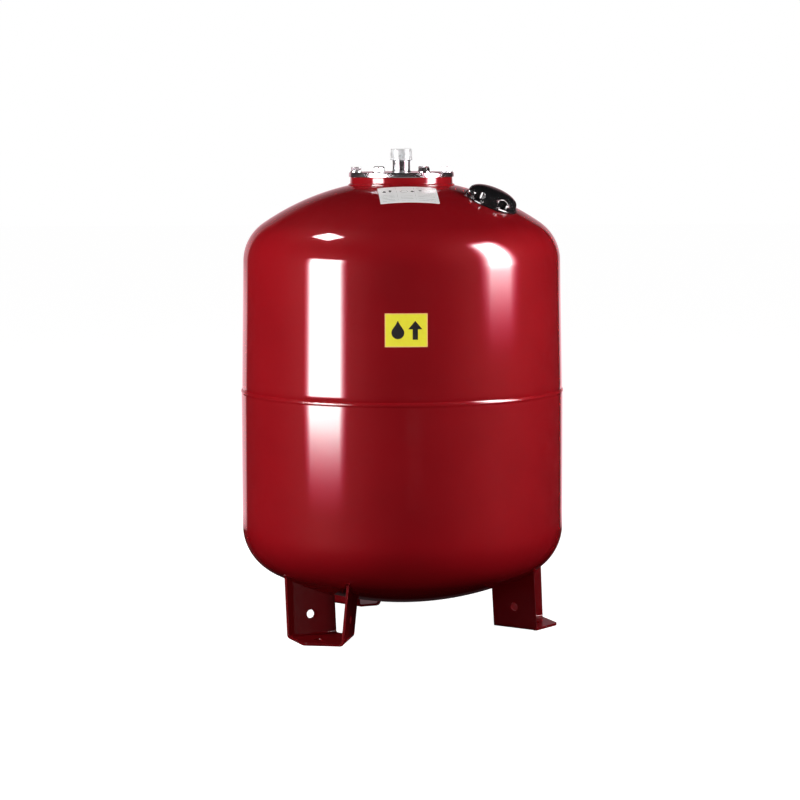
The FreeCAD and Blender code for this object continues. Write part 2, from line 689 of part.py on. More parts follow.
def valve_guard():
    flange_top = crown_drop(GUARD_R, GUARD_GAP) + GUARD_FLANGE_T
    flange = turned((0, GUARD_GAP), crown_arc(0, GUARD_R, GUARD_GAP), (GUARD_R, flange_top),
                    (0, flange_top))
    dome = guard_form(0, ((0, GUARD_GAP), crown_arc(0, GUARD_BODY_R, GUARD_GAP)))
    outside = dome.fuse(flange).cut(flutes(0))
    inside = guard_cavity(GUARD_T).cut(flutes(GUARD_T))
    skirt = tube(GUARD_SKIRT_R, GUARD_SKIRT_R + GUARD_SKIRT_T, GUARD_SKIRT_BOTTOM,
                 GUARD_TOP - GUARD_T)
    skirt = skirt.common(guard_cavity(GUARD_T / 2))
    return outside.cut(inside).fuse(skirt).removeSplitter()


# Labels -------------------------------------------------------------------

def data_label():
    """Sticker on the crown, just in front of the neck."""
    frame = crown_placement(DATA_LABEL_R, DATA_LABEL_AZIMUTH)
    patch = Part.makeBox(DATA_LABEL_H, DATA_LABEL_W, LABEL_CUT_DEPTH,
                         V(-DATA_LABEL_H / 2, -DATA_LABEL_W / 2, LABEL_T - LABEL_CUT_DEPTH))
    centre = V(0, 0, -UPPER_CROWN)
    patch = patch.common(Part.makeSphere(UPPER_CROWN + LABEL_T, centre))
    patch = patch.cut(Part.makeSphere(UPPER_CROWN, centre))
    return placed(patch, frame)


def rating_label():
    """Sticker on the front of the upper half's wall."""
    low = RATING_LABEL_Z - RATING_LABEL_H / 2
    high = RATING_LABEL_Z + RATING_LABEL_H / 2

    def wall_r(z):
        drawn_in = (z - SEAM_Z - JOGGLE_END) * math.tan(UPPER_DRAFT)
        return UPPER_SEAM_R + ASSEMBLY_GAP / 2 - drawn_in

    band = turned((wall_r(low), low), (wall_r(low) + LABEL_T, low),
                  (wall_r(high) + LABEL_T, high), (wall_r(high), high))
    window = Part.makeBox(RATING_LABEL_W, SHELL_R, RATING_LABEL_H,
                          V(RATING_LABEL_X - RATING_LABEL_W / 2, -SHELL_R - LABEL_T, low))
    return band.common(window)


# All nodes ----------------------------------------------------------------

def build():
    nodes = {
        "upper_shell": upper_shell(),
        "lower_shell": lower_shell(),
        "girth_weld": girth_weld(),
        "neck_ring": neck_ring(),
        "neck_weld": neck_weld(),
        "counterflange": counterflange(),
        "flange_bolts": flange_bolts(),
        "flange_washers": flange_washers(),
        "connection_nipple": connection_nipple(),
        "nipple_weld": nipple_weld(),
        "thread_cap": thread_cap(),
        "bladder": bladder(),
        "data_label": data_label(),
        "rating_label": rating_label(),
    }
    in_valve_frame = (valve_boss, valve_boss_weld, stem_seal, valve_stem, valve_core_body,
                      valve_core_pin, valve_core_seal, valve_core_spring, dust_cap,
                      dust_cap_seal, guard_seat, valve_guard)
    for make in in_valve_frame:
        nodes[make.__name__] = placed(make(), VALVE_FRAME)
    bracket = foot()
    weld = foot_weld(bracket)
    for side, azimuth in FOOT_AZIMUTHS.items():
        turn = FreeCAD.Placement(ORIGIN, FreeCAD.Rotation(UP, azimuth))
        nodes["foot_" + side] = placed(bracket, turn)
        nodes["foot_weld_" + side] = placed(weld, turn)
    return nodes


os.makedirs("parts", exist_ok=True)
for name, shape in build().items():
    shape.exportStep(os.path.join("parts", name + ".step"))
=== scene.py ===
import math

import bmesh
import bpy
from mathutils import Matrix, Vector, noise

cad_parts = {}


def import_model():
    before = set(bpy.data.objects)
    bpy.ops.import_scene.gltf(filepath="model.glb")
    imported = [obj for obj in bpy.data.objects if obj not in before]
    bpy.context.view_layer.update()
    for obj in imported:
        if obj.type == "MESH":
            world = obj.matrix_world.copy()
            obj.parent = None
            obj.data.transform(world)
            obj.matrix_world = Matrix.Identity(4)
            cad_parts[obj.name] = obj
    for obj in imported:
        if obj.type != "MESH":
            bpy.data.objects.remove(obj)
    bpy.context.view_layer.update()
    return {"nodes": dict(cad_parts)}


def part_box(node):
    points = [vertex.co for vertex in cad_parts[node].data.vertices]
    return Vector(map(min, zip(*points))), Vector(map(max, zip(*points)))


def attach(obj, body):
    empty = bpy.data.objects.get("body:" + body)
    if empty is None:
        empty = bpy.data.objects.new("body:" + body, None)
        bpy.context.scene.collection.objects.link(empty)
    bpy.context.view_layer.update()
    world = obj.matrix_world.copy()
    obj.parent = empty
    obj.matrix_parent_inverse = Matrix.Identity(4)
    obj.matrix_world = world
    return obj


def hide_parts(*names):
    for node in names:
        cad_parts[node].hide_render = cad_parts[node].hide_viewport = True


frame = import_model()

# Driving dimensions, in metres.  Places come from the frame's boxes.
MM = 0.001
WALL = 1.8 * MM
UPPER_KNUCKLE = 64 * MM
UPPER_CROWN = 340 * MM
LOWER_KNUCKLE = 70 * MM
LOWER_CROWN = 418 * MM
UPPER_TANGENT_Z = 513 * MM
LOWER_TANGENT_Z = 141 * MM
UPPER_TOP_R = 221 * MM
UPPER_SEAM_R = 224.2 * MM
JOGGLE_END = 4 * MM
JOGGLE_DEPTH = 9 * MM
SLIP_GAP = 0.1 * MM
WALL_STEPS = 24
NECK_HOLE_R = 58 * MM
SHELL_SEGMENTS = 288
DENT = 0.10 * MM
TINY = 1e-7

# Range that a noise texture spends nearly all its time in.
NOISE_LOW = 0.3
NOISE_HIGH = 0.7

SEAM_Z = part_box("lower_shell")[1][2]
SHELL_R = UPPER_SEAM_R + 0.8 * MM


# Node helpers -------------------------------------------------------------

class Nodes:
    """Short way to lay out a material's node tree."""

    def __init__(self, tree):
        self.tree = tree

    def add(self, kind, **settings):
        node = self.tree.nodes.new(kind)
        for key, value in settings.items():
            if key in node.inputs:
                node.inputs[key].default_value = value
            else:
                setattr(node, key, value)
        return node

    def link(self, out, into):
        self.tree.links.new(out, into)

    def coords(self, scale=(1, 1, 1)):
        where = self.add("ShaderNodeTexCoord")
        mapping = self.add("ShaderNodeMapping")
        mapping.inputs["Scale"].default_value = scale
        self.link(where.outputs["Object"], mapping.inputs["Vector"])
        return mapping.outputs["Vector"]

    def noise(self, scale, detail=3.0, rough=0.5, stretch=(1, 1, 1)):
        node = self.add("ShaderNodeTexNoise", Scale=scale, Detail=detail, Roughness=rough)
        self.link(self.coords(stretch), node.inputs["Vector"])
        return node.outputs["Fac"]

    def ramp(self, value, stops):
        node = self.add("ShaderNodeValToRGB")
        elements = node.color_ramp.elements
        while len(elements) < len(stops):
            elements.new(0.5)
        for element, (place, colour) in zip(elements, stops):
            element.position = place
            element.color = (*colour, 1)
        self.link(value, node.inputs["Fac"])
        return node.outputs["Color"]

    def spread(self, value, low, high, new_low, new_high):
        node = self.add("ShaderNodeMapRange")
        for key, number in zip(("From Min", "From Max", "To Min", "To Max"),
                               (low, high, new_low, new_high)):
            node.inputs[key].default_value = number
        self.link(value, node.inputs["Value"])
        return node.outputs["Result"]

    def patchy(self, fac, new_low, new_high):
        """A noise stretched between two values."""
        return self.spread(fac, NOISE_LOW, NOISE_HIGH, new_low, new_high)

    def mix(self, factor, first, second):
        node = self.add("ShaderNodeMix", data_type="RGBA")
        self.link(factor, node.inputs[0])
        for socket, value in ((node.inputs[6], first), (node.inputs[7], second)):
            if isinstance(value, tuple):
                socket.default_value = (*value, 1)
            else:
                self.link(value, socket)
        return node.outputs[2]

    def maths(self, operation, first, second):
        node = self.add("ShaderNodeMath", operation=operation)
        for socket, value in zip(node.inputs, (first, second)):
            if isinstance(value, (int, float)):
                socket.default_value = value
            else:
                self.link(value, socket)
        return node.outputs[0]

    def bump(self, height, distance, strength=1.0, under=None):
        node = self.add("ShaderNodeBump", Distance=distance, Strength=strength)
        self.link(height, node.inputs["Height"])
        if under:
            self.link(under, node.inputs["Normal"])
        return node.outputs["Normal"]

    def edges(self, width):
        """1 on sharp edges, 0 away from them, from the difference of two normals."""
        bevel = self.add("ShaderNodeBevel", samples=6, Radius=width)
        geometry = self.add("ShaderNodeNewGeometry")
        dot = self.add("ShaderNodeVectorMath", operation="DOT_PRODUCT")
        self.link(bevel.outputs["Normal"], dot.inputs[0])
        self.link(geometry.outputs["Normal"], dot.inputs[1])
        return self.spread(dot.outputs["Value"], 0.995, 0.93, 0.0, 1.0)


def material(name, **shader):
    """A new material; keyword names are the Principled sockets with _ for space."""
    made = bpy.data.materials.new(name)
    made.use_nodes = True
    principled = made.node_tree.nodes["Principled BSDF"]
    for key, value in shader.items():
        principled.inputs[key.replace("_", " ")].default_value = value
    return made, Nodes(made.node_tree), principled


def rgb(red, green, blue):
    return (red, green, blue)


# Materials ----------------------------------------------------------------

ENAMEL_BASE = rgb(0.335, 0.0046, 0.0095)
ENAMEL_DEEP = rgb(0.305, 0.0040, 0.0085)
ENAMEL_DUST = rgb(0.22, 0.03, 0.035)


def red_enamel(name, painted_shade_scale=1.0, worn=0.0, gloss=1.0):
    """Gloss stoving enamel: orange peel, slight cloudiness, rubbed edges on the feet;
    painted_shade_scale below 1 darkens the colour as painted shade.
    """
    made, nodes, shader = material(name, Coat_Weight=gloss, Coat_Roughness=0.03, Coat_IOR=1.55,
                                   IOR=1.5, Specular_IOR_Level=0.04)
    cloud = nodes.noise(9.0, 4.0, 0.55)
    # painted_shade_scale multiplies both enamel colours: below 1 it is painted shade, not a different
    # paint.
    base = tuple(part * painted_shade_scale for part in ENAMEL_BASE)
    deep = tuple(part * painted_shade_scale for part in ENAMEL_DEEP)
    colour = nodes.mix(nodes.spread(cloud, 0.35, 0.65, 0.0, 1.0), base, deep)
    if worn:
        rub = nodes.noise(160.0, 3.0, 0.6)
        edge = nodes.maths("MULTIPLY", nodes.edges(1.2 * MM), nodes.spread(rub, 0.45, 0.7, 0.0, worn))
        colour = nodes.mix(edge, colour, ENAMEL_DUST)
    nodes.link(colour, shader.inputs["Base Color"])
    haze = nodes.noise(35.0, 5.0, 0.6)
    nodes.link(nodes.patchy(haze, 0.4, 0.55), shader.inputs["Roughness"])
    nodes.link(nodes.patchy(haze, 0.025, 0.06), shader.inputs["Coat Roughness"])
    peel = nodes.bump(nodes.noise(420.0, 2.0, 0.4), 0.02 * MM, 0.12)
    nodes.link(nodes.bump(nodes.noise(60.0, 2.0, 0.4), 0.05 * MM, 0.16, peel),
               shader.inputs["Coat Normal"])
    return made


def bright_zinc(name, base, rough_low, rough_high):
    """Bright plating with fine scratches and slightly milky patches."""
    made, nodes, shader = material(name, Metallic=1.0)
    patches = nodes.noise(28.0, 5.0, 0.6)
    dull = tuple(0.82 * part for part in base)
    nodes.link(nodes.mix(nodes.spread(patches, 0.4, 0.7, 0.0, 1.0), base, dull),
               shader.inputs["Base Color"])
    nodes.link(nodes.patchy(patches, rough_low, rough_high), shader.inputs["Roughness"])
    scratches = nodes.noise(90.0, 4.0, 0.7, (1, 14, 1))
    nodes.link(nodes.bump(scratches, 0.02 * MM, 0.25), shader.inputs["Normal"])
    return made


def turned_brass(name):
    """Brass with tarnish and fine lines from the lathe."""
    made, nodes, shader = material(name, Metallic=1.0)
    tarnish = nodes.noise(220.0, 4.0, 0.6)
    nodes.link(nodes.mix(nodes.spread(tarnish, 0.4, 0.7, 0.0, 1.0), rgb(0.72, 0.50, 0.20),
                         rgb(0.42, 0.27, 0.10)), shader.inputs["Base Color"])
    nodes.link(nodes.patchy(tarnish, 0.22, 0.42), shader.inputs["Roughness"])
    lathe_lines = nodes.noise(40.0, 2.0, 0.5, (1, 1, 60))
    nodes.link(nodes.bump(lathe_lines, 0.02 * MM, 0.3), shader.inputs["Normal"])
    return made


def moulded_plastic(name, colour, rough_low, rough_high, grain, coat=0.0):
    """Moulded plastic with a fine spark-eroded grain and paler rubbed edges."""
    made, nodes, shader = material(name, IOR=1.5, Coat_Weight=coat, Coat_Roughness=0.12)
    wear = nodes.noise(140.0, 4.0, 0.65)
    pale = tuple(part + 0.05 for part in colour)
    rub = nodes.maths("MULTIPLY", nodes.edges(0.6 * MM), nodes.spread(wear, 0.4, 0.7, 0.0, 0.7))
    nodes.link(nodes.mix(rub, colour, pale), shader.inputs["Base Color"])
    nodes.link(nodes.patchy(wear, rough_low, rough_high), shader.inputs["Roughness"])
    tooth = nodes.noise(2600.0, 2.0, 0.5)
    nodes.link(nodes.bump(tooth, grain, 0.5), shader.inputs["Normal"])
    return made


def frosted_plastic(name):
    """Thin milky polyethylene of the thread's protective cap."""
    made, nodes, shader = material(name, IOR=1.51, Transmission_Weight=0.35)
    cloud = nodes.noise(120.0, 4.0, 0.6)
    nodes.link(nodes.mix(cloud, rgb(0.92, 0.95, 0.95), rgb(0.97, 0.98, 0.98)),
               shader.inputs["Base Color"])
    nodes.link(nodes.patchy(cloud, 0.22, 0.36), shader.inputs["Roughness"])
    flow = nodes.noise(300.0, 2.0, 0.5, (1, 1, 0.2))
    nodes.link(nodes.bump(flow, 0.03 * MM, 0.3), shader.inputs["Normal"])
    return made


def soft_rubber(name, colour):
    """Matt rubber with a pale bloom."""
    made, nodes, shader = material(name, IOR=1.5, Specular_IOR_Level=0.35)
    bloom = nodes.noise(70.0, 5.0, 0.6)
    pale = tuple(part * 1.8 for part in colour)
    nodes.link(nodes.mix(nodes.spread(bloom, 0.4, 0.75, 0.0, 1.0), colour, pale),
               shader.inputs["Base Color"])
    nodes.link(nodes.patchy(bloom, 0.5, 0.7), shader.inputs["Roughness"])
    nodes.link(nodes.bump(nodes.noise(900.0), 0.04 * MM, 0.4), shader.inputs["Normal"])
    return made


def printed_film(name, colour, rough, painted_glow=0.0):
    """Self-adhesive film: faint mottling and aged patches; painted_glow is an emission, painted light
    that makes it glow a little.
    """
    made, nodes, shader = material(name, IOR=1.46, Coat_Weight=0.25, Coat_Roughness=0.15,
                                   Emission_Color=(*colour, 1), Emission_Strength=painted_glow)
    mottle = nodes.noise(240.0, 4.0, 0.6)
    aged = tuple(0.93 * part for part in colour)
    nodes.link(nodes.mix(nodes.spread(mottle, 0.35, 0.65, 0.0, 1.0), colour, aged),
               shader.inputs["Base Color"])
    nodes.link(nodes.patchy(mottle, rough, rough + 0.12), shader.inputs["Roughness"])
    nodes.link(nodes.bump(mottle, 0.01 * MM, 0.4), shader.inputs["Normal"])
    return made


ENAMEL = red_enamel("red_enamel_gloss")
# The feet's enamel is darkened to 0.42 as painted shade, where they sit low under the body; its rubbed
# edges are real wear.
ENAMEL_FEET_WORN_SHADED = red_enamel("red_enamel_feet_worn_shaded", painted_shade_scale=0.42, worn=0.35, gloss=0.35)
ZINC = bright_zinc("bright_zinc_plate", rgb(0.80, 0.82, 0.84), 0.14, 0.28)
ZINC_BOLTS = bright_zinc("zinc_fasteners", rgb(0.70, 0.71, 0.72), 0.16, 0.30)
BARE_STEEL = bright_zinc("bare_steel", rgb(0.42, 0.41, 0.40), 0.30, 0.45)
BRASS = turned_brass("turned_brass")
BLACK_COVER = moulded_plastic("black_cover_plastic", rgb(0.012, 0.012, 0.013), 0.16, 0.26,
                              0.006 * MM, 0.6)
BLACK_CAP = moulded_plastic("black_cap_plastic", rgb(0.02, 0.02, 0.021), 0.35, 0.5, 0.02 * MM)
FROSTED = frosted_plastic("frosted_cap_plastic")
BLADDER_RUBBER = soft_rubber("bladder_rubber", rgb(0.022, 0.021, 0.020))
SEAL_RUBBER = soft_rubber("seal_rubber", rgb(0.03, 0.03, 0.03))
# The label films' emission is painted light: they glow a little, so they look brighter than their
# lighting makes them.
YELLOW_FILM = printed_film("yellow_film", rgb(0.86, 0.78, 0.035), 0.34, painted_glow=0.3)
YELLOW_EDGE = printed_film("yellow_film_edge", rgb(0.90, 0.52, 0.18), 0.36, painted_glow=0.4)
WHITE_FILM = printed_film("white_film", rgb(0.95, 0.95, 0.94), 0.30, painted_glow=0.22)
BLACK_INK = printed_film("black_ink", rgb(0.012, 0.012, 0.014), 0.38)
GREY_INK = printed_film("grey_ink", rgb(0.30, 0.31, 0.32), 0.40)

NODE_FINISHES = {
    "neck_weld": BARE_STEEL, "valve_boss": BARE_STEEL, "valve_boss_weld": ENAMEL,
    "bladder": BLADDER_RUBBER, "stem_seal": SEAL_RUBBER, "valve_core_seal": SEAL_RUBBER,
    "dust_cap_seal": SEAL_RUBBER, "valve_stem": BRASS, "valve_core_body": BRASS,
    "valve_core_pin": ZINC_BOLTS, "valve_core_spring": ZINC_BOLTS, "dust_cap": BLACK_CAP,
    "guard_seat": BLACK_CAP, "foot_right": ENAMEL_FEET_WORN_SHADED, "foot_rear": ENAMEL_FEET_WORN_SHADED,
    "foot_front_left": ENAMEL_FEET_WORN_SHADED,
}


# Mesh helpers -------------------------------------------------------------

def finish_mesh(name, mesh, finish, body="root", sharp=35.0):
    """Object from a bmesh: outward normals, smooth faces, sharp edges by angle."""
    bmesh.ops.remove_doubles(mesh, verts=mesh.verts, dist=TINY)
    bmesh.ops.recalc_face_normals(mesh, faces=mesh.faces)
    for face in mesh.faces:
        face.smooth = True
    for edge in mesh.edges:
        if len(edge.link_faces) == 2:
            edge.smooth = edge.calc_face_angle() < math.radians(sharp)
    data = bpy.data.meshes.new(name)
    mesh.to_mesh(data)
    mesh.free()
    piece = bpy.data.objects.new(name, data)
    bpy.context.scene.collection.objects.link(piece)
    data.materials.append(finish)
    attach(piece, body)
    return piece


def arc(centre_r, centre_z, radius, start, end, steps):
    """Points of a profile's arc; angles in degrees from the outward direction."""
    points = []
    for step in range(steps + 1):
        angle = math.radians(start + (end - start) * step / steps)
        points.append((centre_r + radius * math.cos(angle), centre_z + radius * math.sin(angle)))
    return points


def softened(corners, steps=5):
    """Profile with its corners rounded; a corner is (r, z, radius)."""
    points = []
    for index, (r, z, radius) in enumerate(corners):
        here = Vector((r, z))
        before = Vector(corners[index - 1][:2]) - here
        after = Vector(corners[(index + 1) % len(corners)][:2]) - here
        if radius <= 0 or before.length < 1e-9 or after.length < 1e-9:
            points.append((r, z))
            continue
        half = before.angle(after) / 2
        reach = min(radius / math.tan(half), 0.48 * before.length, 0.48 * after.length)
        start = here + before.normalized() * reach
        end = here + after.normalized() * reach
        for step in range(steps + 1):
            t = step / steps
            point = start.lerp(here, t).lerp(here.lerp(end, t), t)
            points.append((point.x, point.y))
    return points


def lathe_mesh(profile, segments=96, closed=True, shift=None):
    """Surface of revolution; shift(angle, r, z) may move each point's radius."""
    mesh = bmesh.new()
    rings = []
    for r, z in profile:
        if r < TINY:
            rings.append([mesh.verts.new((0, 0, z))] * segments)
            continue
        ring = []
        for step in range(segments):
            angle = 2 * math.pi * step / segments
            radius = r + (shift(angle, r, z) if shift else 0)
            ring.append(mesh.verts.new((radius * math.cos(angle), radius * math.sin(angle), z)))
        rings.append(ring)
    pairs = list(zip(rings, rings[1:]))
    if closed:
        pairs.append((rings[-1], rings[0]))
    for low, high in pairs:
        for step in range(segments):
            follow = (step + 1) % segments
            corners = []
            for vert in (low[step], low[follow], high[follow], high[step]):
                if vert not in corners:
                    corners.append(vert)
            if len(corners) > 2:
                mesh.faces.new(corners)
    return mesh


def lathe(name, profile, finish, body="root", segments=96, closed=True, shift=None, at=None):
    mesh = lathe_mesh(profile, segments, closed, shift)
    if at:
        mesh.transform(at)
    return finish_mesh(name, mesh, finish, body)


# Shell --------------------------------------------------------------------

class End:
    """Torispherical end, facing +1 up or -1 down, tangent to a wall with draft."""

    def __init__(self, radius, tangent_z, knuckle, crown, facing, draft=0.0):
        self.facing = facing
        self.draft = draft
        self.knuckle = knuckle
        self.crown = crown
        self.knuckle_r = radius - knuckle * math.cos(draft)
        self.knuckle_z = tangent_z - facing * knuckle * math.sin(draft)
        drop = math.sqrt((crown - knuckle) ** 2 - self.knuckle_r ** 2)
        self.crown_z = self.knuckle_z - facing * drop
        self.meet = math.atan2(drop, self.knuckle_r)

    def profile(self, hole_r, offset=0.0, steps=26):
        """Points from the wall inwards to a hole, or to the pole."""
        edge = math.acos(hole_r / (self.crown + offset))
        facing = self.facing
        knuckle = arc(self.knuckle_r, self.knuckle_z, self.knuckle + offset,
                      facing * math.degrees(self.draft), facing * math.degrees(self.meet), steps)
        crown = arc(0, self.crown_z, self.crown + offset, facing * math.degrees(self.meet),
                    facing * math.degrees(edge), steps)
        return knuckle + crown[1:]

    def height(self, r, offset=0.0):
        return self.crown_z + self.facing * math.sqrt((self.crown + offset) ** 2 - r ** 2)


UPPER_DRAFT = math.atan((UPPER_SEAM_R - UPPER_TOP_R) / (UPPER_TANGENT_Z - SEAM_Z - JOGGLE_END))
UPPER = End(UPPER_TOP_R, UPPER_TANGENT_Z, UPPER_KNUCKLE, UPPER_CROWN, 1, UPPER_DRAFT)
LOWER = End(SHELL_R, LOWER_TANGENT_Z, LOWER_KNUCKLE, LOWER_CROWN, -1)


def run(start, end, steps):
    """Evenly spaced profile points from start towards end, without the end."""
    return [(start[0] + (end[0] - start[0]) * i / steps, start[1] + (end[1] - start[1]) * i / steps)
            for i in range(steps)]


def drawn_waves(angle, r, z):
    """Faint unevenness that deep drawing leaves, inwards only."""
    place = Vector((math.cos(angle) * 2.2, math.sin(angle) * 2.2, z * 9))
    fade = min(1.0, r / (100 * MM))
    return -DENT * fade * (0.5 + 0.5 * noise.noise(place))


def upper_shell():
    top = UPPER.profile(NECK_HOLE_R)
    inner = UPPER.profile(NECK_HOLE_R, -WALL)
    inner.reverse()
    slip_r = SHELL_R - WALL
    profile = [(slip_r - SLIP_GAP, SEAM_Z - JOGGLE_DEPTH), (slip_r - SLIP_GAP, SEAM_Z + MM)]
    profile += run((UPPER_SEAM_R, SEAM_Z + JOGGLE_END), top[0], WALL_STEPS)
    profile += top + inner
    profile.append((slip_r - WALL, SEAM_Z - JOGGLE_DEPTH))
    piece = lathe("upper_shell_skin", profile, ENAMEL, segments=SHELL_SEGMENTS, shift=drawn_waves)
    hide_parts("upper_shell")


def lower_shell():
    bottom = LOWER.profile(0)
    inner = LOWER.profile(0, -WALL)
    inner.reverse()
    profile = run((SHELL_R, SEAM_Z), bottom[0], WALL_STEPS) + bottom + inner
    profile.append((SHELL_R - WALL, SEAM_Z))
    piece = lathe("lower_shell_skin", profile, ENAMEL, segments=SHELL_SEGMENTS, shift=drawn_waves)
    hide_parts("lower_shell")


BEAD_RIPPLES = 520


def girth_weld():
    """Painted weld bead in the step between the halves, with its ripples."""
    low = (SHELL_R - 0.3 * MM, SEAM_Z - 3 * MM)
    high = (UPPER_SEAM_R - 0.3 * MM, SEAM_Z + 4.2 * MM)
    crest = 1.25 * MM
    steps = 10
    profile = []
    for step in range(steps + 1):
        t = step / steps
        bulge = crest * math.sin(math.pi * t) ** 0.8
        profile.append((low[0] + (high[0] - low[0]) * t + bulge, low[1] + (high[1] - low[1]) * t))
    profile.append((UPPER_SEAM_R - WALL, SEAM_Z + MM))

    def ripple(angle, r, z):
        t = (z - low[1]) / (high[1] - low[1])
        crescent = 0.35 * math.sin(math.pi * t)
        wave = math.sin(BEAD_RIPPLES * angle + 6 * crescent)
        drift = noise.noise(Vector((40 * math.cos(angle), 40 * math.sin(angle), 60 * t)))
        return (0.05 * wave + 0.16 * drift - 0.1) * MM * math.sin(math.pi * min(1.0, max(0.0, t)))

    piece = lathe("girth_weld_bead", profile, ENAMEL, segments=4 * BEAD_RIPPLES, shift=ripple)
    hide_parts("girth_weld")


# Neck, counterflange and connection ---------------------------------------

RING_TOP_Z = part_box("neck_ring")[1][2]
FLANGE_LOW, FLANGE_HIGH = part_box("counterflange")
FLANGE_TOP_Z = FLANGE_HIGH[2]
FLANGE_R = 73 * MM
SHANK_R = 12.05 * MM
BOLT_CIRCLE_R = 63 * MM
BOLT_COUNT = 6
BOLT_TURN = 17              # degrees; each head sits this much further round on its own axis
HEAD_FLATS = 13 * MM
BOLT_SHANK_R = 4 * MM
WASHER_R = 8 * MM
WASHER_BORE_R = 4.5 * MM
CHAMFER_ANGLE = math.radians(30)


def neck_ring():
    """Ring that follows the crown underneath, with a flared lip, a waist and a bore."""
    lip_r = 74 * MM
    waist_r = 71 * MM
    bore_r = 47 * MM
    spigot_z = 615.5 * MM
    lip_z = UPPER.height(lip_r)
    seat = [(r, UPPER.height(r), 0) for r in (NECK_HOLE_R, 62 * MM, 66 * MM, 70 * MM)]
    corners = [(bore_r, RING_TOP_Z, 0.6 * MM), (bore_r, spigot_z, 0.4 * MM),
               (NECK_HOLE_R, spigot_z, 0.4 * MM)]
    corners += seat
    corners += [(lip_r, lip_z, 0.2 * MM), (lip_r, lip_z + 1.3 * MM, 0.5 * MM),
                (waist_r + 0.4 * MM, lip_z + 2.6 * MM, 2 * MM),
                (waist_r, RING_TOP_Z - 3 * MM, MM), (waist_r, RING_TOP_Z, 0.7 * MM)]
    piece = lathe("neck_ring_body", softened(corners), ENAMEL, segments=192)
    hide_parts("neck_ring")


def counterflange():
    """Pressed plate with a turned-down, rounded rim, and a hole for the nipple."""
    bottom_z = FLANGE_TOP_Z - 3 * MM
    rim_in = 70.5 * MM
    corners = [(SHANK_R, FLANGE_TOP_Z, 0.2 * MM), (SHANK_R, bottom_z, 0.2 * MM),
               (rim_in, bottom_z, 0.8 * MM), (rim_in, FLANGE_LOW[2], 0.4 * MM),
               (FLANGE_R, FLANGE_LOW[2], 0.6 * MM), (FLANGE_R, FLANGE_TOP_Z, 2.4 * MM)]
    piece = lathe("counterflange_plate", softened(corners, 8), ZINC, segments=192)
    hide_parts("counterflange")


def bolt_place(index):
    angle = math.radians(360 / BOLT_COUNT * index)
    return Matrix.Rotation(angle, 4, "Z") @ Matrix.Translation((BOLT_CIRCLE_R, 0, 0))


def hex_head(bottom, height, across_flats, shank_r, shank_end):
    """Hexagon head with a turned chamfer, and its shank."""
    mesh = bmesh.new()
    flat = across_flats / 2
    corner = flat / math.cos(math.pi / 6)
    washer_face_r = 0.96 * flat
    chamfer = corner - washer_face_r
    chamfer_end = 0.6 * MM
    levels = 10
    steps = 72
    rings = []
    for level in range(levels + 1):
        z = bottom + height * level / levels
        over = max(0.0, z - (bottom + height - chamfer * math.tan(CHAMFER_ANGLE)))
        limit = corner - over / math.tan(CHAMFER_ANGLE)
        ring = []
        for step in range(steps):
            angle = 2 * math.pi * step / steps
            side = (angle + math.pi / 6) % (math.pi / 3) - math.pi / 6
            radius = min(flat / math.cos(side), limit)
            ring.append(mesh.verts.new((radius * math.cos(angle), radius * math.sin(angle), z)))
        rings.append(ring)
    for low, high in zip(rings, rings[1:]):
        for step in range(steps):
            follow = (step + 1) % steps
            mesh.faces.new((low[step], low[follow], high[follow], high[step]))
    mesh.faces.new(rings[-1])
    mesh.faces.new(rings[0][::-1])
    shank = lathe_mesh([(0, bottom), (shank_r, bottom), (shank_r, shank_end + chamfer_end),
                        (shank_r - chamfer_end, shank_end), (0, shank_end)], 32, closed=False)
    data = bpy.data.meshes.new("shank")
    shank.to_mesh(data)
    shank.free()
    mesh.from_mesh(data)
    bpy.data.meshes.remove(data)
    return mesh


def flange_fasteners():
    """Six bolts and their washers, each its own piece."""
    bolts_low, bolts_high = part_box("flange_bolts")
    washer_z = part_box("flange_washers")[1][2]
    washer = softened([(WASHER_BORE_R, FLANGE_TOP_Z, 0.1 * MM), (WASHER_R, FLANGE_TOP_Z, 0.2 * MM),
                       (WASHER_R, washer_z, 0.35 * MM), (WASHER_BORE_R, washer_z, 0.2 * MM)])
    for index in range(BOLT_COUNT):
        turn = Matrix.Rotation(math.radians(BOLT_TURN * index), 4, "Z")
        head = hex_head(washer_z, bolts_high[2] - washer_z, HEAD_FLATS, BOLT_SHANK_R, bolts_low[2])
        head.transform(bolt_place(index) @ turn)
        bolt = finish_mesh("flange_bolt_%d" % (index + 1), head, ZINC_BOLTS, sharp=25)
        ring = lathe("flange_washer_%d" % (index + 1), washer, ZINC_BOLTS, segments=48,
                     at=bolt_place(index))
        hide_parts("flange_bolts")
        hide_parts("flange_washers")


THREAD_PITCH = 1.814 * MM
THREAD_R = 13.22 * MM
NIPPLE_BORE_R = 9 * MM
THREAD_START_Z = 649.8 * MM


def connection_nipple():
    """Shank, bore and a true helical thread that runs out at both ends."""
    low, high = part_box("connection_nipple")
    thread_end = high[2] - 0.4 * MM
    rows = 150
    profile = [(SHANK_R, low[2])]
    profile += [(SHANK_R, THREAD_START_Z + (thread_end - THREAD_START_Z) * i / rows)
                for i in range(rows + 1)]
    profile += [(SHANK_R - 0.3 * MM, high[2]), (NIPPLE_BORE_R + 0.4 * MM, high[2]),
                (NIPPLE_BORE_R, high[2] - 0.4 * MM), (NIPPLE_BORE_R, low[2])]

    def thread(angle, r, z):
        if r < SHANK_R or z < THREAD_START_Z:
            return 0.0
        phase = ((z - THREAD_START_Z) / THREAD_PITCH - angle / (2 * math.pi)) % 1.0
        tooth = min(1.0, max(0.0, 1.4 * (1 - abs(2 * phase - 1)) - 0.1))
        run_out = min(1.0, (z - THREAD_START_Z) / MM, max(0.0, thread_end - z) / MM)
        return (THREAD_R - SHANK_R) * tooth * max(0.0, run_out)

    piece = lathe("connection_nipple_body", profile, ZINC, segments=96, shift=thread)
    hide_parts("connection_nipple")


